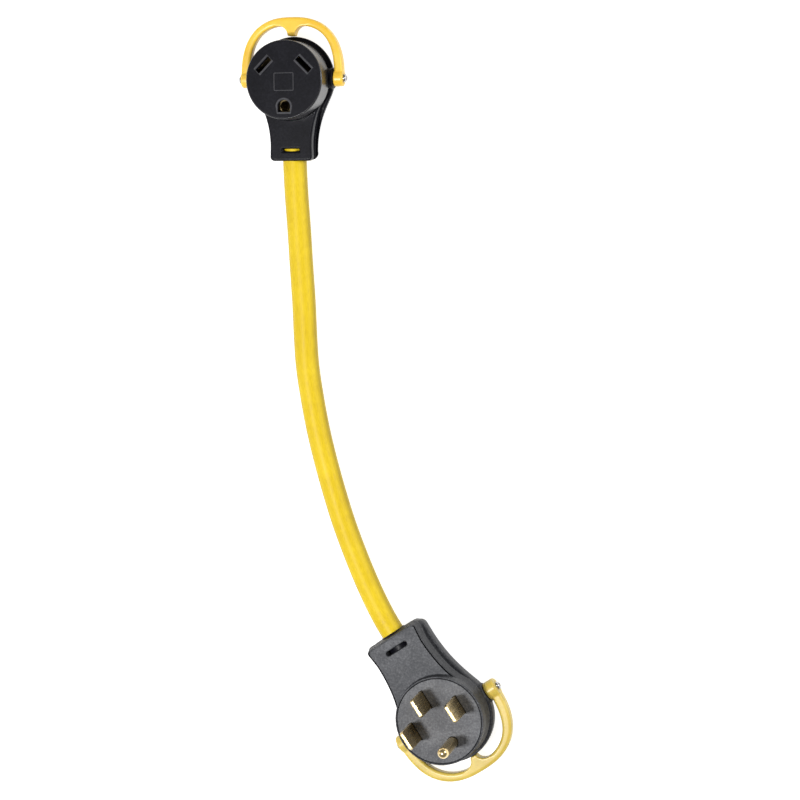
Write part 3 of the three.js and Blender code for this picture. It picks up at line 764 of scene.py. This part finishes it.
def female_grip():
    head = FEMALE
    rear = loft(grip_outline(head, "rear"), head["back_edge"])
    low, high = head["neck_flange_top"], head["flange_top"]
    begin, end = head["flange_slope"]
    rear = cut(rear, wedge([(begin, high + 2 * OVER), (begin, high), (end, low),
                            (-LONG, low), (-LONG, high + 2 * OVER)], WIDE))
    plug = loft(grip_outline(head, "groove"), [(3, 0), (head["wall"] + OVER, 0)])
    front = loft(grip_outline(head, "front"),
                 rounded_levels(head["neck_wall"], head["neck_front"], 0.8, 1.0))
    wall, neck_wall = head["wall"], head["neck_wall"]
    begin, end = head["wall_slope"]
    front = cut(front, wedge([(WIDE, 0), (WIDE, wall), (begin, wall), (end, neck_wall),
                              (end, 0)], WIDE))
    inner, outer, radius = head["boss"]
    body = join(rear, plug, front, *hinge_rods(inner, outer, radius, head["pivot"]))
    body = cut(body, window_tool(head))
    body = soften(body, SOFT_VOXEL, 3, 0.5)
    seat = rod(head["face_radius"] + GAP, head["wall"], head["face"], "Z",
               (0, head["face_y"], 0))
    return hollow(cut(body, seat), head)


def male_grip():
    head = MALE
    rear = loft(grip_outline(head, "rear"), head["back_edge"])

    def groove_depth(y):
        """The groove fades out before the end of the neck."""
        share = min(max((y - head["neck_end"] - FADE_END) / FADE_RUN, 0), 1)
        return -FADE_GROWTH * (1 - share)

    plug = loft(grip_outline(head, "groove"),
                [(5, groove_depth), (head["wall"] + OVER, groove_depth)])
    levels = [(head["wall"], -0.5), (head["wall"] + 0.4, -1.1), (head["wall"] + 1, -1.3)]
    levels += [(21, -0.6), (head["neck_front"] - 1.1, 0.0)]
    levels += rounded_levels(0, head["neck_front"], 0, 1.0)[-5:]
    front = loft(grip_outline(head, "front"), levels)
    radius = head["front"][0]
    drum = solid_lathe([(radius, head["wall"]), *quarter(radius, head["face"] - 0.5, 0.5)],
                       at=(0, head["face_y"], 0))
    inner, outer, boss = head["boss"]
    body = join(rear, plug, front, drum, *hinge_rods(inner, outer, boss, head["pivot"]))
    body = cut(body, window_tool(head))
    body = soften(body, SOFT_VOXEL, 3, 0.5)
    return hollow(cut(body, carrier_seat(head), edge_line(head)), head)


def edge_line(head):
    """Fine parting line just inside the edge of the neck's front, outside the drum."""
    outline = grip_outline(head, "front")
    top = head["neck_front"]
    near, far = LINE_EDGES
    line = cut(
        loft(outline, [(top - LINE_DEPTH, near), (top + OVER, near)]),
        loft(outline, [(top - 3 * OVER, far), (top + 2 * OVER, far)]),
    )
    radius = head["front"][0] + 0.2
    return cut(line, rod(radius, top - 4 * OVER, top + 3 * OVER, "Z", (0, head["face_y"], 0)))


def carrier_seat(head):
    """Room for the blade carrier, with a small chamfer at the rim."""
    radius = head["face_radius"] + GAP
    face = head["face"]
    return solid_lathe([(radius, CARRIER_FLOOR - GAP), (radius, face - 0.5),
                        (radius + 0.4, face + 0.05), (radius + 0.4, face + OVER)],
                       at=(0, head["face_y"], 0))


def slot_rim(outline):
    """A low raised lip round an opening."""
    face = FEMALE["face"]
    grow = -RIM_WIDTH
    return loft(outline, [(face - 1, grow), (face + RIM_HEIGHT - 0.15, grow),
                          (face + RIM_HEIGHT, grow + 0.15)])


def earth_outline():
    width, height = EARTH_SIZE
    half = width / 2
    points = [(-half, EARTH_Y - height / 2), (half, EARTH_Y - height / 2)]
    for i in range(25):
        angle = math.pi * i / 24
        points.append((half * math.cos(angle),
                       EARTH_Y + height / 2 - half + half * math.sin(angle)))
    return points


def contact_housing():
    head = FEMALE
    radius, face, wall = head["face_radius"], head["face"], head["wall"] + GAP
    body = solid_lathe([
        (SPIGOT_RADIUS, SPIGOT_FLOOR),
        (SPIGOT_RADIUS, wall),
        (radius - 0.5, wall),
        (radius, wall + 0.5),
        (radius - FACE_DRAFT, face - FACE_ROUND - 0.1),
        *quarter(radius - FACE_DRAFT, face - FACE_ROUND, FACE_ROUND, steps=7)[1:],
    ], sides=192, at=(0, head["face_y"], 0))
    x, y = SLOT_AT
    openings = []
    for side in (-1, 1):
        turn = -side * SLOT_TURN
        openings.append(rectangle(*SLOT_SIZE, side * x, y, turn))
    openings.append(earth_outline())
    for outline in openings:
        body = join(body, slot_rim(outline))
    plain_frame = rounded_box(*PLAIN_FRAME)
    body = join(body, cut(
        loft(plain_frame, [(face - OVER, 0), (face + FRAME_HEIGHT, 0)]),
        loft(plain_frame, [(face - 2 * OVER, FRAME_WIDTH), (face + OVER, FRAME_WIDTH)]),
    ))
    pocket_top = face - FACE_WALL
    for outline in openings:
        body = cut(body, loft(outline, [(SPIGOT_FLOOR - OVER, 0), (face - 0.2, 0),
                                        (face + RIM_HEIGHT, -0.3), (face + OVER, -0.5)]))
    for side in (-1, 1):
        body = cut(body, box(*CONTACT_ROOM, SPIGOT_FLOOR - OVER, pocket_top, side * x, y,
                             -side * SLOT_TURN))
    body = cut(body, rod(EARTH_TUBE, SPIGOT_FLOOR - OVER, pocket_top, "Z", (0, EARTH_Y, 0)))
    body.data.materials.clear()
    for look in (BLACK, PAINTED_LIP_HIGHLIGHT, WALL):
        body.data.materials.append(look["material"])
    # Faces standing above the face, the tops of the rims and the frame, take the lighter grey:
    # painted highlight.
    for polygon in body.data.polygons:
        out = Vector(polygon.center[:2]) - Vector((0, head["face_y"]))
        if out.length > radius - FACE_ROUND - 0.2 and abs(polygon.normal.z) < 0.95:
            polygon.material_index = 2
        else:
            polygon.material_index = int(polygon.center.z > face + 0.01)
    return body


def blade_carrier():
    head = MALE
    radius, face = head["face_radius"], head["face"]
    body = solid_lathe([(radius, CARRIER_FLOOR), *quarter(radius, face - 0.45, 0.45)],
                       sides=192, at=(0, head["face_y"], 0))
    width, depth = BLADE_SIZE
    for x, y in BLADES.values():
        body = cut(body, box(width + 2 * GAP, depth + 2 * GAP, CARRIER_FLOOR - OVER,
                             face + OVER, x, y))
    return cut(body, rod(PIN_RADIUS + GAP, CARRIER_FLOOR - OVER, face + OVER, "Z",
                         (0, PIN_Y, 0)))


def strain_sleeve():
    """Black collar between the cable and the male neck."""
    end, start = MALE["neck_end"] - SLEEVE_PROUD, SLEEVE_START
    height, bore = MALE["bore"]
    outer = bore - GAP
    profile = [(outer, start), (outer, end + 2.0), (outer - 0.3, end + 0.6),
               (outer - 0.8, end), (CABLE_FIT, end), (CABLE_FIT, start)]
    return ring_lathe(profile, 96, "Y", (0, 0, height))


# ---------------------------------------------------------------- contacts and screws


def flat_blade(x, y):
    """Straight blade with clipped and softened edges, on a shoulder behind the carrier."""
    width, depth = BLADE_SIZE
    half = depth / 2
    outline = [(-half, SHOULDER_FLOOR), (half, SHOULDER_FLOOR), (half, BLADE_TIP - 1.8),
               (half - BLADE_CLIP, BLADE_TIP), (BLADE_CLIP - half, BLADE_TIP),
               (-half, BLADE_TIP - 1.8)]
    edge = 0.35
    blade = loft(outline, [(-width / 2, edge), (-width / 2 + 0.1, edge * 0.45),
                           (-width / 2 + edge, 0), (width / 2 - edge, 0),
                           (width / 2 - 0.1, edge * 0.45), (width / 2, edge)])
    blade.data.transform(Matrix(((0, 0, 1, x), (1, 0, 0, y), (0, 1, 0, 0), (0, 0, 0, 1))))
    shoulder = box(width + 2.8, depth, SHOULDER_FLOOR, CARRIER_FLOOR - GAP, x, y)
    return join(blade, shoulder)


def crimp_barrel(x, y):
    """Open barrel that grips the end of a core."""
    profile = [(3.4, y - 3.5), (3.4, y + 3.5), (0.5, y + 3.5), (0.5, y + 2.5),
               (2.6, y + 2.5), (2.6, y - 3.5)]
    return ring_lathe(profile, 48, "Y", (x, 0, BARREL_HEIGHT))


def earth_pin():
    profile = [(PIN_RADIUS + 1.4, SHOULDER_FLOOR), (PIN_RADIUS + 1.4, CARRIER_FLOOR - GAP),
               (PIN_RADIUS, CARRIER_FLOOR - GAP)]
    base = PIN_TIP - PIN_RADIUS
    for i in range(15):
        angle = math.pi / 2 * i / 15
        profile.append((PIN_RADIUS * math.cos(angle), base + PIN_RADIUS * math.sin(angle)))
    profile.append((0.05, PIN_TIP))
    return solid_lathe(profile, sides=64, at=(0, PIN_Y, 0))


def screw(head, side):
    """Pan-head screw with a cross recess."""
    tip, seat = head["screw"]
    crown = [(SCREW_HEAD, seat), (SCREW_HEAD, seat + SCREW_RIM)]
    for i in range(1, 9):
        angle = math.pi / 2 * i / 8
        crown.append((max(SCREW_HEAD * math.cos(angle), 0.05),
                      seat + SCREW_RIM + SCREW_CROWN * math.sin(angle)))
    shank = [(SCREW_RADIUS - 0.15, tip), (SCREW_RADIUS, tip + 0.4), (SCREW_RADIUS, seat)]
    body = solid_lathe([*shank, *crown], sides=48, axis="X", at=(0, 0, head["pivot"]))
    end = seat + SCREW_RIM + SCREW_CROWN
    for turn in (0, math.pi / 2):
        recess = box(2 * OVER, RECESS_WIDTH, -RECESS_LENGTH / 2, RECESS_LENGTH / 2, end, 0)
        recess.data.transform(Matrix.Translation((0, 0, head["pivot"]))
                              @ Matrix.Rotation(turn + math.pi / 4, 4, "X"))
        body = cut(body, recess)
    if side < 0:
        body.data.transform(Matrix.Scale(-1, 4, (1, 0, 0)))
        body.data.flip_normals()
    return body


# ---------------------------------------------------------------- handles


def bail(half, reach, power, steps):
    points = []
    for i in range(steps + 1):
        angle = math.pi * i / steps
        c, s = math.cos(angle), math.sin(angle)
        points.append(Vector((math.copysign(half * abs(c) ** (2 / power), c),
                              reach * abs(s) ** (2 / power))))
    return points


def pull_handle(head):
    """A bail with a lug at each foot, and a centre post that spreads into its crossbar."""
    half, reach, power, inner_half, inner_reach, inner_power = head["handle"]
    flare, rise = head["post"]
    edge = rounded_levels(head["pivot"] - HANDLE_DEPTH / 2, head["pivot"] + HANDLE_DEPTH / 2,
                          HANDLE_EDGE, HANDLE_EDGE, 6)
    outer = bail(half, reach, power, 120)
    inner = bail(inner_half, inner_reach, inner_power, 110)
    body = loft(outer + list(reversed(inner)), edge)
    foot = head["rim"] + POST_CLEARANCE

    def inner_edge(x):
        return inner_reach * (1 - (x / inner_half) ** inner_power) ** (1 / inner_power)

    side = bezier(
        Vector((POST_HALF, foot + TOE_RADIUS)),
        Vector((POST_HALF + 0.2, foot + rise)),
        Vector((flare - POST_LEAN, 2 * inner_edge(flare) - inner_edge(flare + POST_LEAN))),
        Vector((flare, inner_edge(flare))),
        20,
    )
    toe = [
        Vector((POST_HALF - TOE_RADIUS + TOE_RADIUS * math.sin(a),
                foot + TOE_RADIUS - TOE_RADIUS * math.cos(a)))
        for a in (math.pi / 2 * i / 6 for i in range(7))
    ]
    sunk = flare + POST_ROOT[0]
    right = toe + side[1:] + [Vector((sunk, inner_edge(sunk) + POST_ROOT[1])),
                              Vector((flare, (reach + inner_reach) / 2))]
    left = [Vector((-p.x, p.y)) for p in reversed(right)]
    post_edge = rounded_levels(edge[0][0], edge[-1][0], TOE_RADIUS * 0.8, TOE_RADIUS * 0.8, 4)
    post = loft(right + left, post_edge)
    inner_x, outer_x, radius = head["lug"]
    body = join(body, post)
    for lug in hinge_rods(inner_x, outer_x, radius, head["pivot"], 1.2):
        body = join(body, lug)
    body = soften(body, HANDLE_VOXEL, 5, 0.6)
    reach_x = outer_x + OVER
    return cut(body, rod(2.0, -reach_x, reach_x, "X", (0, 0, head["pivot"])))


# ---------------------------------------------------------------- cable


def catmull(points, steps):
    """Points along a centripetal Catmull-Rom curve through the given ones."""
    points = [Vector(p) for p in points]
    extended = [2 * points[0] - points[1], *points, 2 * points[-1] - points[-2]]
    line = []
    for i in range(len(points) - 1):
        p0, p1, p2, p3 = extended[i:i + 4]
        t1 = (p1 - p0).length ** 0.5
        t2 = t1 + (p2 - p1).length ** 0.5
        t3 = t2 + (p3 - p2).length ** 0.5
        for k in range(steps):
            t = t1 + (t2 - t1) * k / steps
            a1 = p0 * ((t1 - t) / t1) + p1 * (t / t1)
            a2 = p1 * ((t2 - t) / (t2 - t1)) + p2 * ((t - t1) / (t2 - t1))
            a3 = p2 * ((t3 - t) / (t3 - t2)) + p3 * ((t - t2) / (t3 - t2))
            b1 = a1 * ((t2 - t) / t2) + a2 * (t / t2)
            b2 = a2 * ((t3 - t) / (t3 - t1)) + a3 * ((t - t1) / (t3 - t1))
            line.append(b1 * ((t2 - t) / (t2 - t1)) + b2 * ((t - t1) / (t2 - t1)))
    return [*line, points[-1]]


def cable():
    """Hollow jacket along the route, with UVs round and along it for its streaks."""
    line = catmull(CABLE_ROUTE, CABLE_STEPS)
    up = Vector((0, 0, 1))
    vertices = []
    run = 0.0
    for i, point in enumerate(line):
        ahead = line[min(i + 1, len(line) - 1)] - line[max(i - 1, 0)]
        across = ahead.cross(up).normalized()
        rise = across.cross(ahead).normalized()
        if i:
            run += (point - line[i - 1]).length
        for radius in (CABLE_RADIUS, CABLE_BORE):
            for k in range(CABLE_SIDES):
                angle = 2 * math.pi * k / CABLE_SIDES
                swell = 1.0
                if radius == CABLE_RADIUS:
                    swell += CABLE_SWELL * math.sin(3 * angle + run * 60)
                arm = across * math.cos(angle) + rise * math.sin(angle)
                vertices.append(point + arm * radius * swell)
    ring = 2 * CABLE_SIDES
    faces = []
    for i in range(len(line) - 1):
        for k in range(CABLE_SIDES):
            j = (k + 1) % CABLE_SIDES
            a, b = i * ring + k, i * ring + j
            faces.append((a, b, b + ring, a + ring))
            c, d = a + CABLE_SIDES, b + CABLE_SIDES
            faces.append((d, c, c + ring, d + ring))
    for i in (0, len(line) - 1):
        for k in range(CABLE_SIDES):
            j = (k + 1) % CABLE_SIDES
            a, b = i * ring + k, i * ring + j
            faces.append((a, a + CABLE_SIDES, b + CABLE_SIDES, b))
    obj = mesh_object("tube", vertices, faces)
    layer = obj.data.uv_layers.new(name="along")
    for polygon in obj.data.polygons:
        numbers = list(polygon.vertices)
        turns = [(v % CABLE_SIDES) / CABLE_SIDES for v in numbers]
        wrap = max(turns) - min(turns) > 0.5
        for loop, v, turn in zip(polygon.loop_indices, numbers, turns):
            layer.data[loop].uv = (turn + (1 if wrap and turn < 0.5 else 0),
                                   (v // ring) / len(line) * STREAK_RUN)
    return obj, line


# ---------------------------------------------------------------- assembly

female_frame = head_frame("female_handle_hinge")
male_frame = head_frame("male_handle_hinge")

tube, centreline = cable()
finished(tube, "jacket", None, ADAPTER, JACKET, ["cable_jacket"])
finished(female_grip(), "female_grip", female_frame, ADAPTER, BLACK, ["female_grip_body"])
finished(contact_housing(), "female_face", female_frame, ADAPTER, BLACK,
         ["female_contact_housing"])
finished(male_grip(), "male_grip", male_frame, ADAPTER, CHARCOAL, ["male_grip_body"])
finished(blade_carrier(), "male_face", male_frame, ADAPTER, CARRIER, ["male_blade_carrier"])
finished(strain_sleeve(), "male_collar", male_frame, ADAPTER, BLACK,
         ["male_strain_relief"])
for name, (x, y) in BLADES.items():
    blade = flat_blade(x, y)
    if name != "male_hot_blade_y":
        blade = join(blade, crimp_barrel(x, y))
    finished(blade, name.replace("male_", "") + "_brass", male_frame, ADAPTER, BRASS, [name],
             smooth=False)
pin = join(earth_pin(), crimp_barrel(0, PIN_Y))
finished(pin, "earth_pin_brass", male_frame, ADAPTER, BRASS, ["male_ground_pin"])
finished(pull_handle(FEMALE), "female_pull", female_frame, "female_pull_handle", AMBER,
         ["female_handle"])
finished(pull_handle(MALE), "male_pull", male_frame, "male_pull_handle", STRAW,
         ["male_handle"])
for prefix, head, place in (("female", FEMALE, female_frame), ("male", MALE, male_frame)):
    for label, side in (("right", 1), ("left", -1)):
        finished(screw(head, side), f"{prefix}_screw_{label}", place, ADAPTER, STEEL,
                 [f"{prefix}_pivot_screw_{label}"])

# Contacts and inserts take the rougher, darkened brass: painted shade.
carried = {
    name: DULL_BRASS_PAINTED_SHADE for name in frame["nodes"]
    if "threaded_insert" in name or name.endswith("_contact")
}
for name, look in {**carried, **CORES}.items():
    obj = frame["nodes"][name]
    obj.data.materials.clear()
    obj.data.materials.append(look["material"])

# ---------------------------------------------------------------- floor, light and camera


def area_light(name, at, size, energy):
    """Square light aimed at the middle of the adapter."""
    data = bpy.data.lights.new(name, "AREA")
    data.shape = "SQUARE"
    data.size = size
    data.energy = energy
    obj = bpy.data.objects.new(name, data)
    obj.location = at
    obj.rotation_mode = "QUATERNION"
    obj.rotation_quaternion = (-Vector(at)).to_track_quat("-Z", "Y")
    bpy.context.scene.collection.objects.link(obj)


corners = [(x * FLOOR_HALF, y * FLOOR_HALF, 0) for x, y in ((-1, -1), (1, -1), (1, 1), (-1, 1))]
floor = mesh_object("floor", corners, [(0, 1, 2, 3)])
floor.data.materials.append(floor_look())

world = bpy.data.worlds.new("studio")
world.use_nodes = True
world.node_tree.nodes["Background"].inputs["Color"].default_value = (1, 1, 1, 1)
world.node_tree.nodes["Background"].inputs["Strength"].default_value = SKY
bpy.context.scene.world = world

for lamp in LAMPS:
    area_light(*lamp)

right, view = Vector(CAMERA_RIGHT), Vector(CAMERA_VIEW)
lens = bpy.data.cameras.new("photo_camera")
lens.lens = CAMERA_LENS
lens.sensor_width = 36
lens.clip_start, lens.clip_end = 0.05, 50
camera = bpy.data.objects.new("photo_camera", lens)
camera.matrix_world = Matrix.Translation(CAMERA_AT) @ Matrix(
    (right, right.cross(view), -view)
).transposed().to_4x4()
bpy.context.scene.collection.objects.link(camera)
bpy.context.scene.camera = camera
bpy.context.scene.view_settings.view_transform = "Standard"
